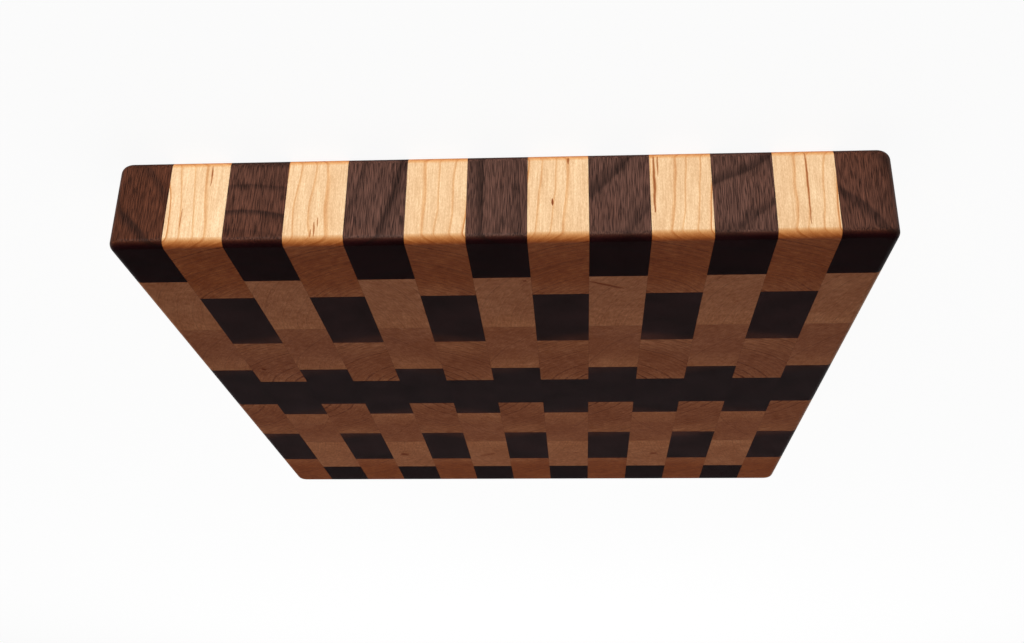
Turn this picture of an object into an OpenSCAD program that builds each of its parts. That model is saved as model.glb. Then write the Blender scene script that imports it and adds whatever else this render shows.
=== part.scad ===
// End-grain cutting board of black walnut and hard maple.
//
// Seven staves, a to g, were glued into a panel. The panel was crosscut into thirteen
// strips, which were stood on end so that the end grain faces up, and every second
// strip was turned end for end. So each strip is a row of seven blocks, and the board
// is ninety-one blocks glued face to face.
//
// The board lies flat on z = 0, centred on x = 0 and y = 0. The strips lie side by side
// along X and run along Y, and the fibres of every block stand along Z.
// Strip 1 is the one at the low end of X. Place 1 is the block at the low end of Y.

/* [Strips] */
// Width of one strip, measured across the board
strip_w = 23.6; // [18:0.1:40]
// Wood sanded off the outer side of the first and the last strip
side_trim = 1; // [0:0.1:3]

/* [Staves] */
// Width of each stave from b to f, measured along a strip
inner_stave_w = 50; // [30:0.5:80]
// Width of stave a, the walnut at one end of every strip
walnut_end_w = 32.35; // [20:0.05:60]
// Width of stave g, the maple at the other end of every strip
maple_end_w = 48.65; // [20:0.05:80]
// How far the glued pattern sits towards high Y after both ends were sawn square
pattern_shift = 0.45; // [-3:0.05:3]

/* [Board] */
// Thickness of the board, along the fibres
board_t = 38; // [25:0.5:60]
// Roundover of every arris around the top and the bottom face
arris_r = 3.5; // [1:0.5:5]
// Radius of the four upright corners, seen from above
corner_r = 6; // [5.5:0.5:14]

/* [Colours] */
// Colour of the walnut blocks
walnut_colour = "#3a221a"; // ["#3a221a", "#4a2f25", "#2c1a14"]
// Colour of the maple blocks
maple_colour = "#d9a870"; // ["#d9a870", "#e8c795", "#b98553"]

/* [Hidden] */
$fn = 64;
strip_count = 13;
STRIPS = [1:strip_count];
INNER_STRIPS = [2:strip_count - 1];

// The staves in the order in which the panel was glued
STAVES = ["a", "b", "c", "d", "e", "f", "g"];
WOODS = ["walnut", "maple", "maple", "walnut", "maple", "walnut", "maple"];
WIDTHS = [
    walnut_end_w, inner_stave_w, inner_stave_w, inner_stave_w, inner_stave_w, inner_stave_w, maple_end_w
];
stave_count = len(STAVES);

function sum_first(list, count) = count == 0 ? 0 : list[count - 1] + sum_first(list, count - 1);

board_w = strip_count * strip_w - 2 * side_trim;
board_l = sum_first(WIDTHS, stave_count);
// How far a block's cutting space reaches past the outside of the board
overshoot = 5;

function is_flipped(strip) = strip % 2 == 0;

// The stave (counted from 0) that lies at a place of a strip, and the place of a stave
function stave_at(strip, place) = is_flipped(strip) ? stave_count - place : place - 1;
function place_of(strip, stave) = is_flipped(strip) ? stave_count - stave : stave + 1;

// X of the glue line at the low side of a strip, past the board's side on the first one
function strip_x(strip) =
    strip == 1 ? -board_w / 2 - overshoot :
    strip == strip_count + 1 ? board_w / 2 + overshoot :
    (strip - 1 - strip_count / 2) * strip_w;

// Y of the glue line in front of a place, past the board's end on the first one
function place_y(strip, place) =
    place == 1 ? -board_l / 2 - overshoot :
    place == stave_count + 1 ? board_l / 2 + overshoot :
    pattern_shift - board_l / 2
        + sum_first([for (k = [1:stave_count]) WIDTHS[stave_at(strip, k)]], place - 1);

function is_side_strip(strip) = strip == 1 || strip == strip_count;
function is_end_place(place) = place == 1 || place == stave_count;
function is_single(strip, place) = is_side_strip(strip) || is_end_place(place);

// ---- Node names ----

function two_digits(n) = str(n < 10 ? "0" : "", n);
function strip_name(strip) = str("strip_", two_digits(strip));
function block_name(strip, stave) = str(strip_name(strip), "_block_", STAVES[stave], "_", WOODS[stave]);
function walnut_pair_name(strip) = str(strip_name(strip), "_blocks_d_f_walnut");
function maple_pair_name(strip) = str(strip_name(strip), "_blocks_c_e_maple");
odd_b_name = "odd_strips_blocks_b_maple";
even_b_name = "even_strips_blocks_b_maple";

// Blocks on the outside of the board have a node each. Inside it, equal blocks that
// don't touch each other share one: d with f and c with e in a strip, and all the b
// blocks of the odd and of the even strips.
stave_b = 1;
stave_c = 2;
stave_d = 3;
stave_e = 4;
stave_f = 5;
SINGLES = [
    for (strip = STRIPS, place = [1:stave_count])
        if (is_single(strip, place)) [strip, stave_at(strip, place)]
];

// ---- Outer form of the board ----

// Section of the board, `span` wide, standing on the first axis
module section(span) {
    translate([arris_r - span / 2, 0]) square([span - 2 * arris_r, board_t]);
    translate([-span / 2, arris_r]) square([span, board_t - 2 * arris_r]);
    for (side = [-1, 1], level = [arris_r, board_t - arris_r])
        translate([side * (span / 2 - arris_r), level]) circle(r = arris_r);
}

// The section across the strips, drawn out along them
module form_between_ends() {
    rotate([90, 0, 0])
        linear_extrude(height = board_l - 2 * corner_r, center = true) section(board_w);
}

// The section along the strips, drawn out across them
module form_between_sides() {
    rotate([90, 0, 90])
        linear_extrude(height = board_w - 2 * corner_r, center = true) section(board_l);
}

// The upright corner, a disc with rounded rims
module form_at_corner() {
    rotate_extrude() intersection() {
        section(2 * corner_r);
        square([corner_r, board_t]);
    }
}

module form_of_board() {
    form_between_ends();
    form_between_sides();
    for (x = [-1, 1], y = [-1, 1])
        translate([x * (board_w / 2 - corner_r), y * (board_l / 2 - corner_r), 0]) form_at_corner();
}

// ---- Blocks ----

// The space between a block's glue lines
module block_space(strip, place, below, above) {
    low = [strip_x(strip), place_y(strip, place), -below];
    high = [strip_x(strip + 1), place_y(strip, place + 1), board_t + above];
    translate(low) cube(high - low);
}

// One block: whole inside the board, and rounded where the board is
module block(strip, place) {
    if (is_single(strip, place)) intersection() {
        if (is_side_strip(strip) && is_end_place(place)) form_of_board();
        else if (is_side_strip(strip)) form_between_ends();
        else form_between_sides();
        block_space(strip, place, overshoot, overshoot);
    }
    else block_space(strip, place, 0, 0);
}

module walnut_block(strip, stave) {
    color(walnut_colour) block(strip, place_of(strip, stave));
}

module maple_block(strip, stave) {
    color(maple_colour) block(strip, place_of(strip, stave));
}

module single_block(strip, stave) {
    if (WOODS[stave] == "walnut") walnut_block(strip, stave);
    else maple_block(strip, stave);
}

module walnut_pair(strip) {
    walnut_block(strip, stave_d);
    walnut_block(strip, stave_f);
}

module maple_pair(strip) {
    maple_block(strip, stave_c);
    maple_block(strip, stave_e);
}

// The b blocks inside the board, of every second strip from `first` on
module inner_b_blocks(first) {
    for (strip = [first:2:strip_count - 1]) maple_block(strip, stave_b);
}

// ---- The board ----

for (single = SINGLES)
    single_block(single[0], single[1]);
for (strip = INNER_STRIPS) walnut_pair(strip);
for (strip = INNER_STRIPS) maple_pair(strip);
inner_b_blocks(3);
inner_b_blocks(2);
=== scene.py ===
"""End-grain cutting board of black walnut and hard maple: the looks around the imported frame.

Ninety-one wood blocks ride on the one rigid body. Each is a closed mesh between its glue lines.
Every vertex knows where it lies in the stave that its block was cut from, so the growth rings,
fibres and pores of a stave run through all its blocks and from each block's end grain onto its side.
"""
import math

import bpy
from mathutils import Matrix, Vector


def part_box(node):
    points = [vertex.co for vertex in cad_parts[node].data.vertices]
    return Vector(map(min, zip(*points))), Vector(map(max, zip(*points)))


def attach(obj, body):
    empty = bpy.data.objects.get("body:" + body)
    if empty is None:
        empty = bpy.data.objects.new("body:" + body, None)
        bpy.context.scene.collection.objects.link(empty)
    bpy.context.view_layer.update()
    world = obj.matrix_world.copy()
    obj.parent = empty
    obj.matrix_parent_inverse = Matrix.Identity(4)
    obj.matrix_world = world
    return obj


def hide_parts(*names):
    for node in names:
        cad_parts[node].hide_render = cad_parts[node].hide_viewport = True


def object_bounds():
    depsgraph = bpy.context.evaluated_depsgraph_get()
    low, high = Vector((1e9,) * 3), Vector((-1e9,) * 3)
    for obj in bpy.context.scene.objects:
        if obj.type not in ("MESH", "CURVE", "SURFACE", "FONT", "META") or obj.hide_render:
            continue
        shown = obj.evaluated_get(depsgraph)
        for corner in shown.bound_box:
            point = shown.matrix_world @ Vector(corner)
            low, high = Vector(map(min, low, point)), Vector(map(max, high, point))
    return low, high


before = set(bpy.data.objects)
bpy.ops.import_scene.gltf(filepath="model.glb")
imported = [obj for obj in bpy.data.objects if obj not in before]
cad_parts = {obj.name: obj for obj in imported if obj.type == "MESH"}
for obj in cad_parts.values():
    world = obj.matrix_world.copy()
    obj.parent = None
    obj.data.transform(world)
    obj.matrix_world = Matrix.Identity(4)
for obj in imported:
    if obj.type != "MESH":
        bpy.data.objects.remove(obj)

cad_low, cad_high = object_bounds()
board_top = cad_high.z

# ---------------------------------------------------------------- the board's make-up

STRIP_COUNT = 13
STRIPS = range(1, STRIP_COUNT + 1)
STAVES = "abcdefg"
MAPLE_STAVES = "bceg"
WOOD = {stave: "maple" if stave in MAPLE_STAVES else "walnut" for stave in STAVES}
INNER_PLACES = len(STAVES) - 2
# Strips whose slice was also turned upside down when the board was glued up.
TURNED_OVER = (2, 4, 8, 9)

# The roundover along every outer arris and the round of the upright corners, in metres.
ARRIS_RADIUS = 0.0035
ARRIS_STEPS = 8
CORNER_RADIUS = 0.006
CORNER_STEPS = 12
SHARP_ANGLE = math.radians(30)

# Places in a stave are in millimetres. It was cut into slices, one for each strip.
MM = 1000.0
THICKNESS = board_top * MM
SAW_KERF = 3.0
SLICE = THICKNESS + SAW_KERF
# Metres added to the distance from a side that has no glue line.
NO_GLUE = 1.0

# How the growth lines of the outermost staves lean on the long edges, strip by strip: millimetres
# per millimetre (across the stave, along the fibres). Each block of the edge gets its own figure.
WALNUT_LEAN = {
    1: (0.30, 0.26), 3: (0.16, -0.36), 5: (0.27, -0.27), 7: (0.50, 0.03),
    9: (0.48, -0.14), 11: (0.03, 0.75), 13: (0.26, 0.30),
}
OTHER_WALNUT_LEAN = (0.2, 0.0)
MAPLE_LEAN = {2: 0.03, 4: 0.02, 6: 0.10, 8: 0.0, 10: -0.03, 12: -0.02}


def is_flipped(strip):
    """Every second strip was turned end for end."""
    return strip % 2 == 0


def order(strip):
    """The staves of a strip from low Y to high Y."""
    return STAVES[::-1] if is_flipped(strip) else STAVES


def cad_node(strip, stave):
    """The name of the frame's node that holds a block."""
    wood = WOOD[stave]
    if strip in (1, STRIP_COUNT) or stave in "ag":
        return f"strip_{strip:02d}_block_{stave}_{wood}"
    if stave == "b":
        return f"{'even' if is_flipped(strip) else 'odd'}_strips_blocks_b_maple"
    return f"strip_{strip:02d}_blocks_{'c_e' if wood == 'maple' else 'd_f'}_{wood}"


def glue_lines(strip):
    """Y of both ends of a strip and of the six glue lines between."""
    staves = order(strip)
    front_low, front_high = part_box(cad_node(strip, staves[0]))
    back_low, back_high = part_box(cad_node(strip, staves[-1]))
    width = (back_low.y - front_high.y) / INNER_PLACES
    inner = [front_high.y + width * k for k in range(INNER_PLACES + 1)]
    return [front_low.y, *inner, back_high.y]


def in_slice(strip, fibre):
    """Millimetres along a stave at a place in the slice that a strip was made from."""
    return strip * SLICE + fibre


inner_low, inner_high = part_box(cad_node(2, "g"))
strip_width = inner_high.x - inner_low.x


def stave_point(point, strip, stave, low, high):
    """Where a point lies in its stave, in millimetres: across, along the width, along the fibres."""
    across = point.x - (low.x + high.x) / 2
    if strip == 1:
        across = point.x - (high.x - strip_width / 2)
    if strip == STRIP_COUNT:
        across = point.x - (low.x + strip_width / 2)
    width = point.y - (high.y if stave == "a" else low.y)
    fibre = point.z
    if is_flipped(strip):
        across = -across
        width = (low.y if stave == "a" else high.y) - point.y
    if strip in TURNED_OVER:
        across = -across
        fibre = board_top - point.z
    return Vector((across * MM, width * MM, in_slice(strip, fibre * MM)))


def leaned(point, strip, stave):
    """A stave point moved to where its growth rings are looked up, so that they lean on the long edges."""
    across, width, fibre = point
    height = fibre - in_slice(strip, THICKNESS / 2)
    if stave == "a":
        lean_across, lean_along = WALNUT_LEAN.get(strip, OTHER_WALNUT_LEAN)
        width += lean_across * across + lean_along * height
    if stave == "g":
        across += MAPLE_LEAN.get(strip, 0.0) * height
    return Vector((across, width, fibre))


# ---------------------------------------------------------------- block meshes

def arris_levels():
    """(height, inset) of each ring of points, from the bottom face to the top face."""
    turns = [math.pi / 2 * k / ARRIS_STEPS for k in range(ARRIS_STEPS + 1)]
    lower = [(ARRIS_RADIUS * (1 - math.cos(t)), ARRIS_RADIUS * (1 - math.sin(t))) for t in turns]
    return lower + [(board_top - z, inset) for z, inset in reversed(lower)]


def outline(low, high, outer, inset):
    """A block's outline seen from above, counter-clockwise, with its outer sides moved in by inset."""
    points = []
    for side_x, side_y in ((-1, -1), (1, -1), (1, 1), (-1, 1)):
        x = high.x if side_x > 0 else low.x
        y = high.y if side_y > 0 else low.y
        if outer[side_x, 0] and outer[0, side_y]:
            centre = Vector((x - side_x * CORNER_RADIUS, y - side_y * CORNER_RADIUS))
            start = math.atan2(side_y, side_x) - math.pi / 4
            for k in range(CORNER_STEPS + 1):
                turn = start + math.pi / 2 * k / CORNER_STEPS
                reach = Vector((math.cos(turn), math.sin(turn))) * (CORNER_RADIUS - inset)
                points.append(centre + reach)
        else:
            x -= side_x * inset * outer[side_x, 0]
            y -= side_y * inset * outer[0, side_y]
            points.append(Vector((x, y)))
    return points


def block_mesh(name, low, high, outer):
    """A closed block from the bottom face to the top face, rounded where it is on the board's outside."""
    is_rounded = any(outer.values())
    levels = arris_levels() if is_rounded else [(0.0, 0.0), (board_top, 0.0)]
    rings = [[(*point, z) for point in outline(low, high, outer, inset)] for z, inset in levels]
    count = len(rings[0])
    faces = [tuple(reversed(range(count)))]
    for level in range(len(rings) - 1):
        base = level * count
        for k in range(count):
            after = (k + 1) % count
            faces.append((base + k, base + after, base + count + after, base + count + k))
    last = (len(rings) - 1) * count
    faces.append(tuple(range(last, last + count)))
    mesh = bpy.data.meshes.new(name)
    mesh.from_pydata([point for ring in rings for point in ring], [], faces)
    mesh.shade_smooth()
    mesh.set_sharp_from_angle(angle=SHARP_ANGLE)
    return mesh


def set_vectors(mesh, name, values):
    """Stores one vector for each vertex, for the materials to read by name."""
    attribute = mesh.attributes.new(name, "FLOAT_VECTOR", "POINT")
    attribute.data.foreach_set("vector", [number for value in values for number in value])


def add_block(strip, place, material):
    """One wood block: its mesh, its places in the stave and its distances from the glue lines."""
    stave = order(strip)[place]
    node = cad_node(strip, stave)
    lines = glue_lines(strip)
    side_low, side_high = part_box(cad_node(strip, order(strip)[0]))
    low = Vector((side_low.x, lines[place]))
    high = Vector((side_high.x, lines[place + 1]))
    outer = {
        (-1, 0): strip == 1, (1, 0): strip == STRIP_COUNT,
        (0, -1): place == 0, (0, 1): place == len(STAVES) - 1,
    }
    name = f"wood_strip_{strip:02d}_block_{stave}"
    mesh = block_mesh(name, low, high, outer)

    points = [vertex.co.copy() for vertex in mesh.vertices]
    in_stave = [stave_point(point, strip, stave, low, high) for point in points]
    set_vectors(mesh, "stave_point", in_stave)
    set_vectors(mesh, "ring_point", [leaned(point, strip, stave) for point in in_stave])
    open_low = Vector((NO_GLUE * outer[-1, 0], NO_GLUE * outer[0, -1]))
    open_high = Vector((NO_GLUE * outer[1, 0], NO_GLUE * outer[0, 1]))
    set_vectors(mesh, "past_low", [(*(point.xy - low + open_low), 0.0) for point in points])
    set_vectors(mesh, "to_high", [(*(high - point.xy + open_high), 0.0) for point in points])

    mesh.materials.append(material)
    piece = bpy.data.objects.new(name, mesh)
    bpy.context.scene.collection.objects.link(piece)
    if any(outer.values()):
        weighted = piece.modifiers.new("flat faces stay flat", "WEIGHTED_NORMAL")
        weighted.keep_sharp = True
    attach(piece, "root")
    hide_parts(node)
    return piece


# ---------------------------------------------------------------- node helpers

class Graph:
    """The node tree of a material or a world, written as short calls on numbers, tuples and sockets."""

    def __init__(self, owner):
        owner.use_nodes = True
        self.tree = owner.node_tree
        self.tree.nodes.clear()

    def add(self, kind, inputs=None, **settings):
        """A new node; inputs are constants or the sockets that feed it."""
        node = self.tree.nodes.new(kind)
        for key, value in settings.items():
            setattr(node, key, value)
        for key, value in (inputs or {}).items():
            if isinstance(value, bpy.types.NodeSocket):
                self.tree.links.new(value, node.inputs[key])
            else:
                node.inputs[key].default_value = value
        return node

    def calc(self, operation, *values, **settings):
        inputs = dict(enumerate(values))
        return self.add("ShaderNodeMath", inputs, operation=operation, **settings).outputs[0]

    def total(self, *values):
        result = values[0]
        for value in values[1:]:
            result = self.calc("ADD", result, value)
        return result

    def product(self, *values):
        result = values[0]
        for value in values[1:]:
            result = self.calc("MULTIPLY", result, value)
        return result

    def rest(self, value):
        """What is left of 1."""
        return self.calc("SUBTRACT", 1.0, value)

    def vector(self, operation, *values):
        inputs = dict(enumerate(values))
        node = self.add("ShaderNodeVectorMath", inputs, operation=operation)
        return node.outputs["Value" if operation in ("LENGTH", "DOT_PRODUCT") else "Vector"]

    def scaled(self, vector, factor):
        """A vector or colour times a number."""
        node = self.add("ShaderNodeVectorMath", {0: vector, "Scale": factor}, operation="SCALE")
        return node.outputs["Vector"]

    def attribute(self, name):
        return self.add("ShaderNodeAttribute", attribute_name=name).outputs["Vector"]

    def split(self, value):
        node = self.add("ShaderNodeSeparateXYZ", {0: value})
        return node.outputs["X"], node.outputs["Y"], node.outputs["Z"]

    def join(self, x, y, z):
        return self.add("ShaderNodeCombineXYZ", {0: x, 1: y, 2: z}).outputs[0]

    def slope(self, value, low, high, to_low=0.0, to_high=1.0, kind="LINEAR"):
        """A straight change from to_low at low to to_high at high, and level outside them."""
        inputs = {"Value": value, "From Min": low, "From Max": high, "To Min": to_low, "To Max": to_high}
        return self.add("ShaderNodeMapRange", inputs, interpolation_type=kind).outputs["Result"]

    def ramp(self, value, low, high, to_low=0.0, to_high=1.0):
        """The same with a smooth start and end."""
        return self.slope(value, low, high, to_low, to_high, "SMOOTHSTEP")

    def band(self, value, rise_start, rise_end, fall_start, fall_end):
        """0, then a smooth rise to 1, then a smooth fall back to 0."""
        rise = self.ramp(value, rise_start, rise_end)
        return self.product(rise, self.ramp(value, fall_start, fall_end, 1.0, 0.0))

    def noise_node(self, at, size, detail, roughness):
        scaled = self.vector("DIVIDE", at, size)
        inputs = {"Vector": scaled, "Scale": 1.0, "Detail": detail, "Roughness": roughness}
        return self.add("ShaderNodeTexNoise", inputs)

    def noise(self, at, size, detail, roughness):
        """Soft noise around 0.5 whose features are size long on each axis."""
        return self.noise_node(at, size, detail, roughness).outputs["Fac"]

    def wander(self, at, size, detail, roughness, reach):
        """A soft random shift of up to about half of reach on each axis."""
        random = self.noise_node(at, size, detail, roughness).outputs["Color"]
        return self.vector("MULTIPLY", self.vector("SUBTRACT", random, (0.5, 0.5, 0.5)), reach)

    def random_by(self, whole_number):
        inputs = {"W": whole_number}
        return self.add("ShaderNodeTexWhiteNoise", inputs, noise_dimensions="1D").outputs["Value"]

    def shade(self, factor, first, second, blend_type="MIX"):
        """A Mix node on colours, whose sockets are 0 for the factor and 6 and 7 for the colours."""
        inputs = {0: factor, 6: first, 7: second}
        return self.add("ShaderNodeMix", inputs, data_type="RGBA", blend_type=blend_type).outputs[2]

    def power(self, colour, exponent):
        return self.add("ShaderNodeGamma", {"Color": colour, "Gamma": exponent}).outputs[0]

    def tint(self, colour, glass, amount):
        """The colour seen through a coloured glass; an amount of 2 is two such glasses."""
        return self.shade(1.0, colour, self.power(glass, amount), "MULTIPLY")


def srgb(red, green, blue):
    """A colour given as it looks on a screen, 0 to 255, as the linear colour that a shader takes."""
    parts = [part / 255 for part in (red, green, blue)]
    linear = [part / 12.92 if part <= 0.04045 else ((part + 0.055) / 1.055) ** 2.4 for part in parts]
    return (*linear, 1.0)


# ---------------------------------------------------------------- how the wood looks

# One entry for each stave: pith is where the tree's centre lay (across, along the width; mm),
# ring the width of a growth ring in mm, lines how strongly the rings show, and end the colour of
# the end grain. Maple also has streaks, how strongly its end grain is streaked along the rings, and
# pale, how far it turns to the pale tone at the stave's low side and high side. Walnut has warm,
# how far its low side turns to the warm brown of the sapwood edge.
STAVE_LOOK = {
    "a": {"pith": (6.0, 90.0), "ring": 9.0, "lines": 0.85, "end": srgb(36, 11, 13), "warm": 0.0},
    "b": {"pith": (-90.0, 60.0), "ring": 1.8, "lines": 0.40, "end": srgb(194, 119, 76),
          "streaks": 1.0, "pale": (0.0, 0.50)},
    "c": {"pith": (-70.0, 70.0), "ring": 2.0, "lines": 0.45, "end": srgb(173, 99, 61),
          "streaks": 1.05, "pale": (0.16, 0.53)},
    "d": {"pith": (-50.0, 80.0), "ring": 3.5, "lines": 0.35, "end": srgb(52, 34, 35), "warm": 0.38},
    "e": {"pith": (40.0, -20.0), "ring": 2.6, "lines": 1.25, "end": srgb(168, 94, 56),
          "streaks": 1.6, "pale": (0.28, 0.50)},
    "f": {"pith": (10.0, 110.0), "ring": 3.0, "lines": 0.35, "end": srgb(54, 32, 32), "warm": 0.75},
    "g": {"pith": (35.0, -36.0), "ring": 2.3, "lines": 1.30, "end": srgb(168, 85, 38),
          "streaks": 1.6, "pale": (0.33, 0.08)},
}
# Keeps the noise of one stave apart from the next one's, in millimetres.
STAVE_GAP = 500.0

# The tilt of a surface at which side colour starts to give way to end grain, and where it has.
MAPLE_TILTS = (0.0, math.radians(75))
WALNUT_TILTS = (math.radians(22), math.radians(56))
# The glass of oil colour that lies over the wood half way between the two. The gain makes the end
# grain's share times the side's come to 1 there.
OIL_TINT = (1.0, 0.93, 0.74, 1.0)
OIL_GAIN = 4.0

MAPLE_SIDE = srgb(230, 192, 148)
MAPLE_SIDE_AMBER = srgb(227, 188, 144)
MAPLE_LINE_TINT = srgb(206, 150, 102)
MAPLE_GRAIN_TINT = srgb(194, 164, 140)
MAPLE_PALE = srgb(208, 130, 82)
MAPLE_END_LINE = srgb(112, 50, 24)
MAPLE_MARK_TINT = srgb(176, 128, 92)
WALNUT_SIDE = srgb(91, 61, 51)
WALNUT_SIDE_DARK = srgb(42, 27, 23)
WALNUT_SIDE_RED = srgb(85, 46, 30)
WALNUT_END_LINE = srgb(24, 13, 14)
WALNUT_END_WARM = srgb(106, 57, 41)

# Every noise is given as its feature size in millimetres (across the stave, along its width, along
# the fibres), the number of finer layers on it and how strong they are.
MAPLE_NOISE = {
    "cloud": ((14.0, 14.0, 30.0), 3.0, 0.5),
    "mottle": ((3.0, 3.0, 12.0), 3.0, 0.6),
    "fibres": ((0.40, 0.40, 12.0), 3.0, 0.6),
    "flecks": ((0.36, 0.36, 0.9), 1.0, 0.6),
    "breaks": ((1.6, 1.6, 20.0), 2.0, 0.6),
    "pores": ((0.5, 0.5, 3.0), 2.0, 0.6),
}
# Its axes are across the rings, along the rings and along the fibres.
MAPLE_STREAKS = ((0.55, 4.0, 12.0), 2.0, 0.55)
WALNUT_NOISE = {
    "cloud": ((16.0, 16.0, 24.0), 3.0, 0.5),
    "fibres": ((0.24, 0.24, 12.0), 1.0, 0.5),
    "pores": ((0.25, 0.25, 5.0), 0.0, 0.5),
    "specks": ((0.5, 0.5, 5.0), 3.0, 0.7),
}
# Most of a noise's values lie between these.
NOISE_RANGE = (0.2, 0.8)

# How the growth rings stray from true circles: a slow bend and a quicker wave, each with its reach.
RING_BEND = ((30.0, 30.0, 45.0), 1.0, 0.45, (3.4, 3.4, 0.0))
RING_WAVE = ((12.0, 12.0, 22.0), 2.0, 0.5, (1.0, 1.0, 0.0))
# How the width of the rings changes from ring to ring: changes in a ring, and their size in rings.
RING_UNEVEN_SCALE = 0.45
RING_UNEVEN_GAIN = 1.25

# The dark line in a ring: where in the ring, from 0 to 1, it rises, is full and falls again.
MAPLE_THIN_LINE = (0.76, 0.91, 0.94, 1.0)
MAPLE_WIDE_LINE = (0.35, 0.90, 0.92, 1.0)
WALNUT_LINE = (0.66, 0.91, 0.92, 0.99)

# A ring's line is as strong as the least plus the spread times the square of its random number.
MAPLE_LINE_LEAST = 0.15
MAPLE_LINE_SPREAD = 0.9
MAPLE_THIN_GAIN = 1.15
MAPLE_WIDE_GAIN = 0.15
MAPLE_END_LINE_GAIN = 0.95
# Where the noise of breaks is low, a line on the end grain keeps only a share of its strength.
MAPLE_BREAKS = (0.35, 0.62, 0.35, 1.0)
# How much each noise deepens the tone of the sides and of the end grain.
MAPLE_SIDE_GRAIN = {"cloud": 0.30, "mottle": 0.40, "fibres": 0.70, "flecks": 0.60}
MAPLE_END_GRAIN = {"cloud": -0.7, "mottle": -1.1, "pores": -0.7}
# Millimetres along a stave's width: the end of the low pale side, and both ends of the high one's rise.
PALE_LOW_END = 16.0
PALE_HIGH_START = 26.0
PALE_HIGH_END = 50.0
# The strips between which the sides turn from amber to the plain tone.
AMBER_STRIP = 2
PLAIN_STRIP = 12

# From low random numbers to high ones, the strength of a walnut ring's line.
WALNUT_LINE_STRENGTH = (0.1, 0.9, 0.3, 1.0)
WALNUT_SIDE_LINE_GAIN = 0.75
WALNUT_END_LINE_GAIN = 0.8
# The noise at which dark pores start and are full, and at which bright fibres between them do.
WALNUT_PORES = (0.54, 0.62)
WALNUT_GLINTS = (0.46, 0.36)
WALNUT_PORE_GAIN = -0.50
WALNUT_GLINT_GAIN = 0.30
WALNUT_RING_GAIN = -0.10
WALNUT_SIDE_CLOUD = 0.5
WALNUT_SIDE_FIBRES = 1.7
WALNUT_END_CLOUD = 1.3
WALNUT_END_SPECKS = 2.6
# Red patches by the cloud noise, and red towards both ends of the stave, in slices from its middle.
WALNUT_RED_PATCHES = (0.50, 0.80, 0.0, 0.3)
MIDDLE_STRIP = 6
RED_START = 2.5
RED_FULL = 7.0
# The warm low side: its reach in mm, its slant, and how much of it is even or lies in the ring lines.
WARM_REACH = 9.0
WARM_SLANT = -0.30
WARM_EVEN = 0.6
WARM_IN_LINES = 0.4

# The glue line: its half width in metres, the share of that at full darkness, and how dark it is.
GLUE_WIDTH = 0.00022
GLUE_CORE = 0.35
GLUE_DARKNESS = {"maple": 0.15, "walnut": 0.3}

# A mark's outline wanders, and tapers from the middle to a share of its width at its ends.
MARK_WANDER = ((5.0, 5.0, 7.0), 2.0, 0.5, (1.0, 1.0, 1.0))
MARK_TAPER = 3.0
MARK_END_WIDTH = 0.5

# Gloss: the roughness where the noise of pores is low and where it is high.
WOOD_IOR = 1.45
WOOD_GLOSS = 0.25
MAPLE_ROUGHNESS = (0.42, 0.34)
WALNUT_ROUGHNESS = (0.34, 0.44)
# Relief: what stands up (above 0) or lies deeper (below 0), and the depth of it all in metres.
RELIEF_STRENGTH = 0.6
MAPLE_RELIEF = 0.00008
MAPLE_FIBRE_HEIGHT = 0.6
MAPLE_PORE_HEIGHT = 0.4
MAPLE_LINE_HEIGHT = -0.3
WALNUT_RELIEF = 0.0001
WALNUT_FIBRE_HEIGHT = 0.4
WALNUT_PORE_HEIGHT = -1.0


def fleck(strip, across, height, length, half_width, darkness):
    """A dark line along the fibres on the near edge; height is its middle above the lower face. In mm."""
    lines = glue_lines(strip)
    width = (lines[1] - lines[0]) * MM
    fibre = THICKNESS - height if strip in TURNED_OVER else height
    middle = in_slice(strip, fibre)
    start = (across, width, middle - length / 2)
    return start, (across, width, middle + length / 2), half_width, darkness


def stain(strip, start, end, half_width, darkness):
    """A brown mark on the upper face, from start to end (across, along the width). In mm."""
    on_top = in_slice(strip, 0.0 if strip in TURNED_OVER else THICKNESS)
    return (*start, on_top), (*end, on_top), half_width, darkness


# Mineral flecks on the near edge and small stains on the upper face, by stave.
MAPLE_MARKS = {
    "g": [
        fleck(12, 4.7, 7.0, 10.0, 0.40, 1.2),
        fleck(12, -5.5, 27.0, 10.0, 0.35, 0.7),
        fleck(10, 0.3, 32.0, 6.0, 0.40, 1.0),
        fleck(10, 1.6, 29.0, 4.0, 0.30, 0.7),
        fleck(10, -1.0, 34.0, 4.0, 0.35, 0.7),
        fleck(6, -2.1, 22.0, 3.0, 0.50, 2.2),
        fleck(6, 3.9, 3.0, 4.0, 0.50, 1.1),
        fleck(4, 10.2, 14.0, 26.0, 0.70, 1.1),
        fleck(4, 8.6, 6.0, 11.0, 0.45, 0.9),
        fleck(2, -0.7, 16.0, 34.0, 0.45, 0.9),
    ],
    "b": [
        stain(10, (-4.5, 26.5), (-3.0, 24.0), 4.2, 0.70),
        stain(4, (-4.5, 26.0), (-3.0, 24.5), 4.2, 0.60),
        stain(8, (-3.0, 26.0), (5.0, 22.0), 2.8, 0.35),
        stain(6, (4.5, 28.0), (5.0, 26.0), 2.4, 0.40),
        stain(5, (11.5, 4.5), (-2.5, 11.5), 0.9, 0.80),
        stain(7, (-9.5, 2.8), (-9.0, 3.6), 1.4, 0.90),
    ],
    "e": [
        stain(12, (-6.0, 18.0), (-5.5, 16.5), 1.6, 1.0),
    ],
}


# ---------------------------------------------------------------- wood materials

def apart(g, place, stave):
    """A place moved so that no two staves share their noise."""
    return g.vector("ADD", place, (0.0, 0.0, STAVE_GAP * STAVES.index(stave)))


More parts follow.
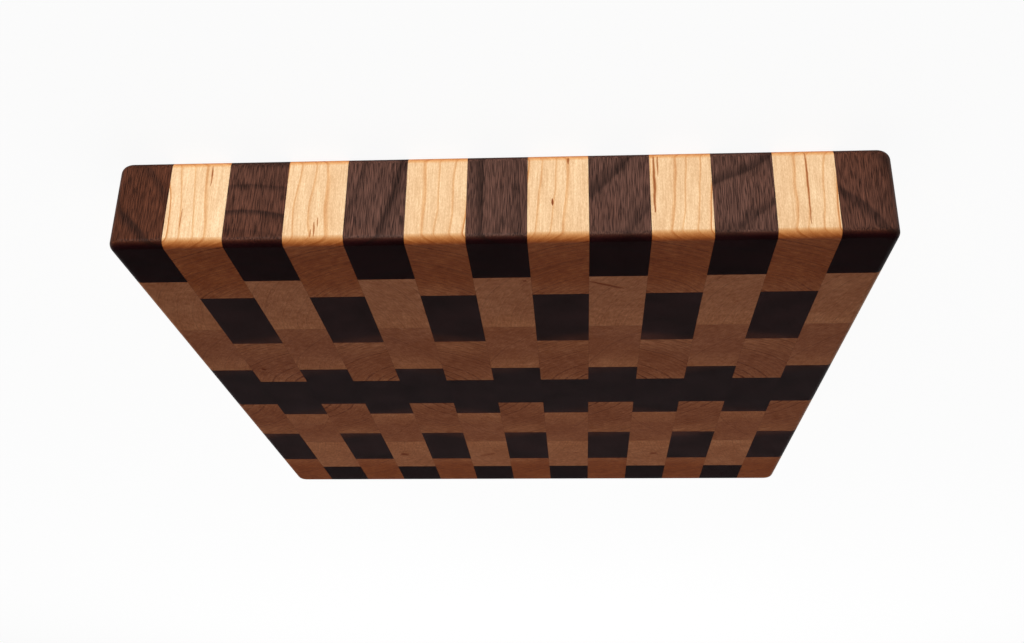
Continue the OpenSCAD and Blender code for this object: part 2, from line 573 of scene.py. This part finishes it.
def growth_rings(g, stave):
    """(place in a ring from 0 to 1, that ring's random number, millimetres across, round and along)."""
    look = STAVE_LOOK[stave]
    at = apart(g, g.attribute("ring_point"), stave)
    strayed = g.vector("ADD", g.vector("ADD", at, g.wander(at, *RING_BEND)), g.wander(at, *RING_WAVE))
    flat = g.vector("MULTIPLY", strayed, (1.0, 1.0, 0.0))
    from_pith = g.vector("SUBTRACT", flat, (*look["pith"], 0.0))
    radius = g.vector("LENGTH", from_pith)

    across, along_width, fibre = g.split(from_pith)
    pith_across, pith_along = look["pith"]
    if abs(pith_across) > abs(pith_along):
        turn = g.calc("ARCTANGENT", g.calc("DIVIDE", along_width, across))
    else:
        turn = g.calc("ARCTANGENT", g.calc("DIVIDE", across, along_width))
    along_ring = g.product(turn, Vector(look["pith"]).length)

    rings = g.calc("DIVIDE", radius, look["ring"])
    inputs = {"W": rings, "Scale": RING_UNEVEN_SCALE, "Detail": 1.0}
    uneven = g.add("ShaderNodeTexNoise", inputs, noise_dimensions="1D").outputs["Fac"]
    rings = g.total(rings, g.product(uneven, RING_UNEVEN_GAIN))
    random = g.random_by(g.calc("FLOOR", rings))
    return g.calc("FRACT", rings), random, g.join(radius, along_ring, fibre)


def end_grain_share(g, tilts):
    """0 where the surface runs along the fibres, rising between two tilts to 1 where it cuts them."""
    normal = g.add("ShaderNodeNewGeometry").outputs["Normal"]
    local = g.add("ShaderNodeVectorTransform", {0: normal}, vector_type="NORMAL",
                  convert_from="WORLD", convert_to="OBJECT").outputs[0]
    upright = g.calc("ABSOLUTE", g.split(local)[2])
    tilt = g.calc("ARCSINE", g.calc("MINIMUM", upright, 1.0))
    return g.slope(tilt, *tilts)


def blend_grain(g, side, end, tilts):
    """The side colour turning to the end grain's through deep, saturated tones, as oiled wood does."""
    share = end_grain_share(g, tilts)
    both = g.shade(1.0, g.power(side, g.rest(share)), g.power(end, share), "MULTIPLY")
    halfway = g.product(OIL_GAIN, share, g.rest(share))
    return g.tint(both, OIL_TINT, halfway)


def glue_share(g):
    """1 on a glue line, 0 away from it."""
    low_x, low_y, _ = g.split(g.attribute("past_low"))
    high_x, high_y, _ = g.split(g.attribute("to_high"))
    nearest = g.calc("MINIMUM", g.calc("MINIMUM", low_x, low_y), g.calc("MINIMUM", high_x, high_y))
    return g.ramp(nearest, GLUE_WIDTH * GLUE_CORE, GLUE_WIDTH, 1.0, 0.0)


def spread(g, value, gain):
    """1 on average, more where the noise is high and less where it is low."""
    return g.calc("MULTIPLY_ADD", g.calc("SUBTRACT", value, 0.5), gain, 1.0)


def weighed(g, noise, gains):
    """The sum of some noises times their gains, 0 on average."""
    parts = [g.product(noise[name], gain) for name, gain in gains.items()]
    return g.total(*parts, -sum(gains.values()) / 2)


def marks(g, at, places):
    """The darkness of soft marks in a stave, each given as (one end, other end, half width, darkness)."""
    share = 0.0
    at = g.vector("ADD", at, g.wander(at, *MARK_WANDER))
    for start, end, half_width, darkness in places:
        run = Vector(end) - Vector(start)
        offset = g.vector("SUBTRACT", at, start)
        along = g.vector("DOT_PRODUCT", offset, run)
        along = g.calc("MULTIPLY", along, 1 / run.length_squared, use_clamp=True)
        distance = g.vector("LENGTH", g.vector("SUBTRACT", offset, g.scaled(run, along)))
        from_ends = g.product(along, g.rest(along))
        reach = g.product(half_width, g.calc("MULTIPLY_ADD", from_ends, MARK_TAPER, MARK_END_WIDTH))
        one = g.ramp(g.calc("DIVIDE", distance, reach), 0.0, 1.0, darkness, 0.0)
        share = g.calc("MAXIMUM", share, one)
    return share


def finish_wood(g, wood, colour, roughness, height, depth):
    """Darkens the glue lines and ends the tree with an oiled surface."""
    colour = g.scaled(colour, g.rest(g.product(glue_share(g), GLUE_DARKNESS[wood])))
    bump = g.add("ShaderNodeBump", {"Height": height, "Strength": RELIEF_STRENGTH, "Distance": depth})
    shader = g.add("ShaderNodeBsdfPrincipled", {
        "Base Color": colour, "Roughness": roughness, "Normal": bump.outputs[0],
        "IOR": WOOD_IOR, "Specular IOR Level": WOOD_GLOSS,
    })
    g.add("ShaderNodeOutputMaterial", {"Surface": shader.outputs[0]})


def maple(g, stave):
    look = STAVE_LOOK[stave]
    place = g.attribute("stave_point")
    at = apart(g, place, stave)
    noise = {name: g.noise(at, *kind) for name, kind in MAPLE_NOISE.items()}
    _, along_width, fibre = g.split(place)

    within, random, by_ring = growth_rings(g, stave)
    thin = g.band(within, *MAPLE_THIN_LINE)
    wide = g.band(within, *MAPLE_WIDE_LINE)
    strength = g.calc("MULTIPLY_ADD", g.product(random, random), MAPLE_LINE_SPREAD, MAPLE_LINE_LEAST)
    strength = g.product(strength, look["lines"])

    drift = g.ramp(fibre, in_slice(AMBER_STRIP, THICKNESS), in_slice(PLAIN_STRIP, 0.0))
    side = g.shade(drift, MAPLE_SIDE_AMBER, MAPLE_SIDE)
    line = g.total(g.product(thin, MAPLE_THIN_GAIN), g.product(wide, MAPLE_WIDE_GAIN))
    side = g.tint(side, MAPLE_LINE_TINT, g.product(strength, line))
    side = g.tint(side, MAPLE_GRAIN_TINT, weighed(g, noise, MAPLE_SIDE_GRAIN))

    low_pale, high_pale = look["pale"]
    low_side = g.ramp(along_width, 0.0, PALE_LOW_END, low_pale, 0.0)
    high_side = g.ramp(along_width, PALE_HIGH_START, PALE_HIGH_END, 0.0, high_pale)
    end = g.shade(g.total(low_side, high_side), look["end"], MAPLE_PALE)
    broken = g.ramp(noise["breaks"], *MAPLE_BREAKS)
    end = g.shade(g.product(wide, strength, broken, MAPLE_END_LINE_GAIN), end, MAPLE_END_LINE)
    streaks = g.product(g.calc("SUBTRACT", 0.5, g.noise(by_ring, *MAPLE_STREAKS)), look["streaks"])
    end = g.tint(end, MAPLE_GRAIN_TINT, g.total(weighed(g, noise, MAPLE_END_GRAIN), streaks))

    colour = blend_grain(g, side, end, MAPLE_TILTS)
    colour = g.tint(colour, MAPLE_MARK_TINT, marks(g, place, MAPLE_MARKS.get(stave, ())))
    fibres = g.product(noise["fibres"], MAPLE_FIBRE_HEIGHT)
    pores = g.product(noise["pores"], MAPLE_PORE_HEIGHT)
    height = g.total(fibres, pores, g.product(wide, MAPLE_LINE_HEIGHT))
    roughness = g.ramp(noise["pores"], *NOISE_RANGE, *MAPLE_ROUGHNESS)
    finish_wood(g, "maple", colour, roughness, height, MAPLE_RELIEF)


def walnut(g, stave):
    look = STAVE_LOOK[stave]
    place = g.attribute("stave_point")
    at = apart(g, place, stave)
    noise = {name: g.noise(at, *kind) for name, kind in WALNUT_NOISE.items()}
    across, along_width, fibre = g.split(place)

    within, random, _ = growth_rings(g, stave)
    late = g.band(within, *WALNUT_LINE)
    line = g.product(late, g.ramp(random, *WALNUT_LINE_STRENGTH), look["lines"])
    pores = g.ramp(noise["pores"], *WALNUT_PORES)
    glints = g.ramp(noise["pores"], *WALNUT_GLINTS)

    from_middle = g.calc("ABSOLUTE", g.calc("SUBTRACT", fibre, in_slice(MIDDLE_STRIP, THICKNESS / 2)))
    stave_ends = g.ramp(from_middle, SLICE * RED_START, SLICE * RED_FULL)
    red = g.total(g.ramp(noise["cloud"], *WALNUT_RED_PATCHES), stave_ends)
    side = g.shade(g.calc("MINIMUM", red, 1.0), WALNUT_SIDE, WALNUT_SIDE_RED)
    side = g.shade(g.product(line, WALNUT_SIDE_LINE_GAIN), side, WALNUT_SIDE_DARK)
    gains = (pores, WALNUT_PORE_GAIN), (glints, WALNUT_GLINT_GAIN), (within, WALNUT_RING_GAIN)
    grain = g.total(1.0, *(g.product(value, gain) for value, gain in gains))
    clouds = spread(g, noise["cloud"], WALNUT_SIDE_CLOUD)
    side = g.scaled(side, g.product(clouds, spread(g, noise["fibres"], WALNUT_SIDE_FIBRES), grain))

    from_low = g.total(along_width, g.product(across, WARM_SLANT))
    warm = g.ramp(from_low, 0.0, WARM_REACH, look["warm"], 0.0)
    warm = g.product(warm, g.total(WARM_EVEN, g.product(late, WARM_IN_LINES)))
    end = g.shade(warm, look["end"], WALNUT_END_WARM)
    end = g.shade(g.product(line, WALNUT_END_LINE_GAIN), end, WALNUT_END_LINE)
    clouds = spread(g, noise["cloud"], WALNUT_END_CLOUD)
    end = g.scaled(end, g.product(clouds, spread(g, noise["specks"], WALNUT_END_SPECKS)))

    colour = blend_grain(g, side, end, WALNUT_TILTS)
    fibres = g.product(noise["fibres"], WALNUT_FIBRE_HEIGHT)
    height = g.total(fibres, g.product(pores, WALNUT_PORE_HEIGHT))
    roughness = g.ramp(noise["pores"], *NOISE_RANGE, *WALNUT_ROUGHNESS)
    finish_wood(g, "walnut", colour, roughness, height, WALNUT_RELIEF)


def wood_material(stave):
    wood = WOOD[stave]
    material = bpy.data.materials.new(f"{wood}_stave_{stave}")
    paint = maple if wood == "maple" else walnut
    paint(Graph(material), stave)
    return material


materials = {stave: wood_material(stave) for stave in STAVES}
for strip in STRIPS:
    for place, stave in enumerate(order(strip)):
        add_block(strip, place, materials[stave])


# ---------------------------------------------------------------- floor, light and camera

WHITE = (1.0, 1.0, 1.0, 1.0)

FLOOR_SIZE = 30.0
FLOOR_GLOW = 0.935
FLOOR_ALBEDO = 0.12

# Light from all round, and light from low behind the board. Along a direction one unit long, the
# low light has faded out at the height of the band, and is full at the spread's reach to +Y.
WORLD_LIGHT = 0.015
HORIZON_LIGHT = 0.34
HORIZON_BAND = 0.20
HORIZON_SPREAD = 0.6
# What a camera sees past the edge of the floor.
BACKGROUND = 0.94

OVERHEAD_PLACE = (0, 0.85, 0.83)
OVERHEAD_SIZE = 1.4
OVERHEAD_ENERGY = 7.05
FRONT_PLACE = (0.8, -2.6, 0.2)
FRONT_TARGET = (0, 0, 0.02)
FRONT_WIDTH = 1.4
FRONT_HEIGHT = 0.3
FRONT_ENERGY = 42.0
SHEEN_ENERGY = 12.0

CAMERA_PLACE = (-0.0312, -0.5475, 0.2400)
CAMERA_TARGET = (-0.0016, -0.0886, 0.0380)
CAMERA_ROLL = math.radians(180.83)
CAMERA_NEAR = 0.01
FOCAL_LENGTH = 40.04
SENSOR_WIDTH = 36.0


def add_floor():
    half = FLOOR_SIZE / 2
    corners = [(-half, -half, 0), (half, -half, 0), (half, half, 0), (-half, half, 0)]
    mesh = bpy.data.meshes.new("floor")
    mesh.from_pydata(corners, [], [(0, 1, 2, 3)])
    floor = bpy.data.objects.new("floor", mesh)
    bpy.context.scene.collection.objects.link(floor)
    material = bpy.data.materials.new("floor")
    g = Graph(material)
    shader = g.add("ShaderNodeBsdfPrincipled", {
        "Base Color": (FLOOR_ALBEDO, FLOOR_ALBEDO, FLOOR_ALBEDO, 1.0), "Roughness": 1.0,
        "Specular IOR Level": 0.0, "Emission Color": WHITE, "Emission Strength": FLOOR_GLOW,
    })
    g.add("ShaderNodeOutputMaterial", {"Surface": shader.outputs[0]})
    mesh.materials.append(material)
    floor.visible_glossy = False


def add_world():
    """Dim light from all round, paler low behind the board, and a plain pale background."""
    world = bpy.data.worlds.new("studio")
    g = Graph(world)
    _, behind, height = g.split(g.add("ShaderNodeTexCoord").outputs["Generated"])
    low_light = g.slope(height, 0.0, HORIZON_BAND, HORIZON_LIGHT, WORLD_LIGHT)
    light = g.slope(behind, 0.0, HORIZON_SPREAD, WORLD_LIGHT, low_light)
    is_seen = g.add("ShaderNodeLightPath").outputs["Is Camera Ray"]
    strength = g.add("ShaderNodeMix", {"Factor": is_seen, "A": light, "B": BACKGROUND}).outputs["Result"]
    background = g.add("ShaderNodeBackground", {"Color": WHITE, "Strength": strength})
    g.add("ShaderNodeOutputWorld", {0: background.outputs[0]})
    bpy.context.scene.world = world


def aim(thing, target, roll=0.0):
    """Turns a light or camera so that its -Z points at target, then rolls it about its view."""
    direction = Vector(target) - thing.location
    turned = direction.to_track_quat("-Z", "Y").to_matrix() @ Matrix.Rotation(roll, 3, "Z")
    thing.rotation_euler = turned.to_euler()


def add_light(name, place, target, **settings):
    """An area light; settings are its energy, shape and size."""
    light = bpy.data.lights.new(name, "AREA")
    for key, value in settings.items():
        setattr(light, key, value)
    thing = bpy.data.objects.new(name, light)
    thing.location = place
    bpy.context.scene.collection.objects.link(thing)
    aim(thing, target)
    return thing


def add_lights():
    """A lamp over and behind the board, and one in front whose reflection is a weaker lamp's."""
    overhead = add_light("overhead", OVERHEAD_PLACE, (0, 0, 0), energy=OVERHEAD_ENERGY,
                         shape="SQUARE", size=OVERHEAD_SIZE)
    overhead.visible_glossy = False
    strip_light = {"shape": "RECTANGLE", "size": FRONT_WIDTH, "size_y": FRONT_HEIGHT}
    front = add_light("front", FRONT_PLACE, FRONT_TARGET, energy=FRONT_ENERGY, **strip_light)
    front.visible_glossy = False
    add_light("sheen", FRONT_PLACE, FRONT_TARGET, energy=SHEEN_ENERGY, **strip_light)


def add_camera():
    camera = bpy.data.cameras.new("camera")
    camera.sensor_width = SENSOR_WIDTH
    camera.lens = FOCAL_LENGTH
    camera.clip_start = CAMERA_NEAR
    thing = bpy.data.objects.new("camera", camera)
    thing.location = CAMERA_PLACE
    bpy.context.scene.collection.objects.link(thing)
    aim(thing, CAMERA_TARGET, CAMERA_ROLL)
    bpy.context.scene.camera = thing


add_floor()
add_world()
add_lights()
add_camera()
bpy.context.scene.view_settings.view_transform = "Standard"
